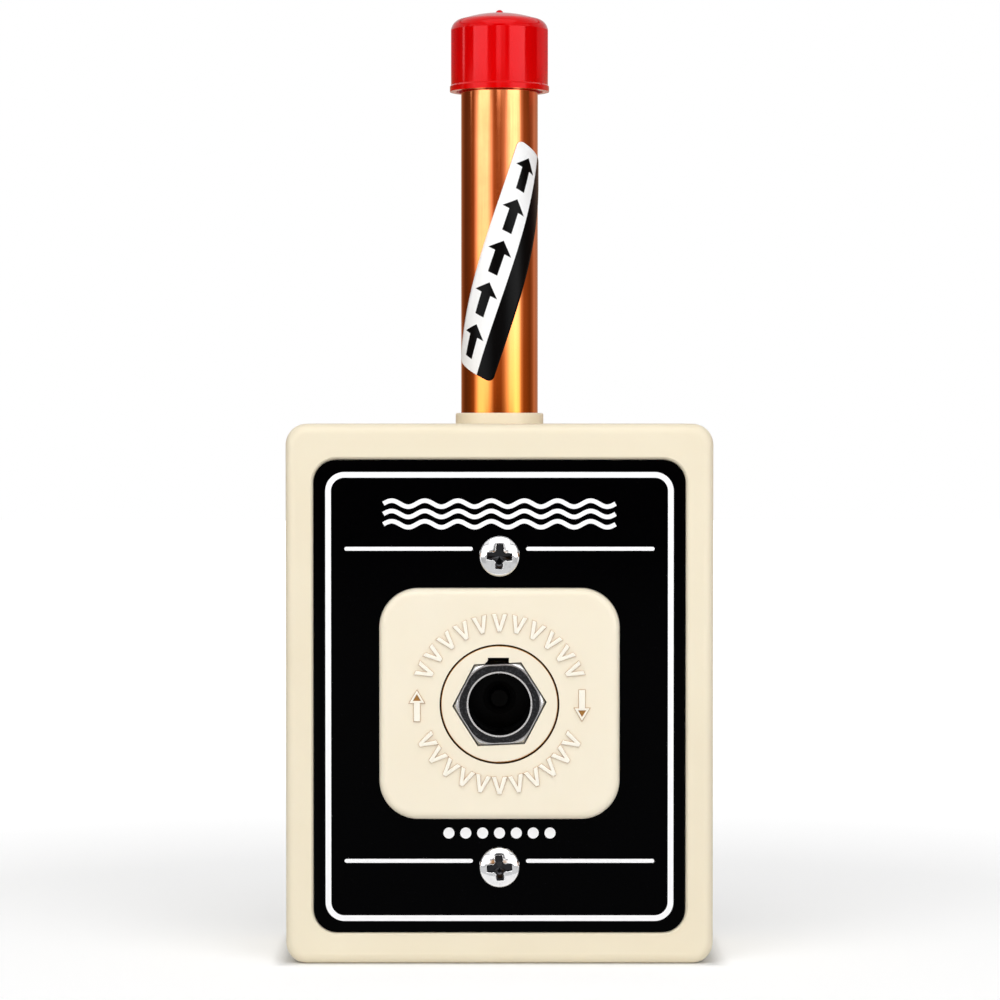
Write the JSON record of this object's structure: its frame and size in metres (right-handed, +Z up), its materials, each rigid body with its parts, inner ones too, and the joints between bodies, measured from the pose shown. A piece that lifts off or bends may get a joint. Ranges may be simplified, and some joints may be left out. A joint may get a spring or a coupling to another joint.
{
  "type": "medical gas outlet",
  "caption": "Surface wall box with a probe socket, push-to-release ring and key notch, black fascia plate, and a capped copper stub pipe out of the top.",
  "frame": {"origin": "middle of the base, under the centre of the whole outlet", "axes": "+Z up along the stub pipe, -Y out of the front, wall at +Y, +X to the right seen from the front"},
  "size_m": [0.0812, 0.043, 0.1835],
  "materials": {
    "cream_plastic": "moulded cream plastic, satin gloss",
    "bezel_plastic": "moulded pale cream plastic, satin gloss",
    "black_laminate": "black laminate with white screen print",
    "plated_steel": "turned and nickel plated",
    "steel": "turned, plain",
    "spring_steel": "drawn wire",
    "zinc_steel": "zinc plated",
    "screw_plate": "bright plated",
    "black_collar": "black, fine grained",
    "black_acetal": "turned black acetal",
    "seal_rubber": "matt black rubber",
    "brass": "machined brass",
    "copper": null,
    "red_plastic": "glossy red moulded plastic",
    "label_film": "white film with a black stripe"
  },
  "bodies": {
    "outlet": {"box_cover": "cream_plastic", "back_plate": "cream_plastic", "fascia_plate": "black_laminate", "socket_bezel": "bezel_plastic", "release_spring": "spring_steel", "socket_body": "plated_steel", "index_collar": "black_collar", "bore_liner": "steel", "probe_seal": "seal_rubber", "body_seal": "seal_rubber", "check_spring": "spring_steel", "spring_retainer": "brass", "retainer_clip": "spring_steel", "fixing_strap": "zinc_steel", "clinch_nut_top": "zinc_steel", "clinch_nut_bottom": "zinc_steel", "base_block": "brass", "isolating_poppet": "brass", "isolator_spring": "spring_steel", "chamber_plug": "brass", "copper_pipe": "copper", "pipe_collar": "cream_plastic", "pipe_label": "label_film", "fascia_screw_top": "screw_plate", "fascia_screw_bottom": "screw_plate", "bezel_screw_left": "zinc_steel", "bezel_screw_right": "zinc_steel", "block_screw_1": "zinc_steel", "block_screw_2": "zinc_steel", "block_screw_3": "zinc_steel", "block_screw_4": "zinc_steel"},
    "ring": {"release_ring": "bezel_plastic", "lock_sleeve": "steel"},
    "poppet": {"check_poppet": "black_acetal", "poppet_seal": "seal_rubber"},
    "cap": {"pipe_cap": "red_plastic"},
    "ball_1": {"latch_ball_1": "steel"},
    "ball_2": {"latch_ball_2": "steel"},
    "ball_3": {"latch_ball_3": "steel"}
  },
  "joints": [
    {"name": "ring_slide", "type": "slide", "parent": "outlet", "child": "ring", "axis": [0, 1, 0], "range_m": [0, 0.003], "stiffness_N_per_m": 1500, "deforming": ["release_spring"]},
    {"name": "poppet_slide", "type": "slide", "parent": "outlet", "child": "poppet", "axis": [0, 1, 0], "range_m": [0, 0.0025], "stiffness_N_per_m": 800, "deforming": ["check_spring"]},
    {"name": "cap_slide", "type": "slide", "parent": "outlet", "child": "cap", "axis": [0, 0, 1], "range_m": [0, 0.02]},
    {"name": "ball_slide_1", "type": "slide", "parent": "outlet", "child": "ball_1", "axis": [0.866, 0, 0.5], "range_m": [0, 0.0007]},
    {"name": "ball_slide_2", "type": "slide", "parent": "outlet", "child": "ball_2", "axis": [-0.866, 0, 0.5], "range_m": [0, 0.0007]},
    {"name": "ball_slide_3", "type": "slide", "parent": "outlet", "child": "ball_3", "axis": [0, 0, -1], "range_m": [0, 0.0007]}
  ],
  "couplings": [
    {"joint": "ball_slide_1", "follows": "ring_slide", "ratio": 0.23333},
    {"joint": "ball_slide_2", "follows": "ring_slide", "ratio": 0.23333},
    {"joint": "ball_slide_3", "follows": "ring_slide", "ratio": 0.23333}
  ]
}
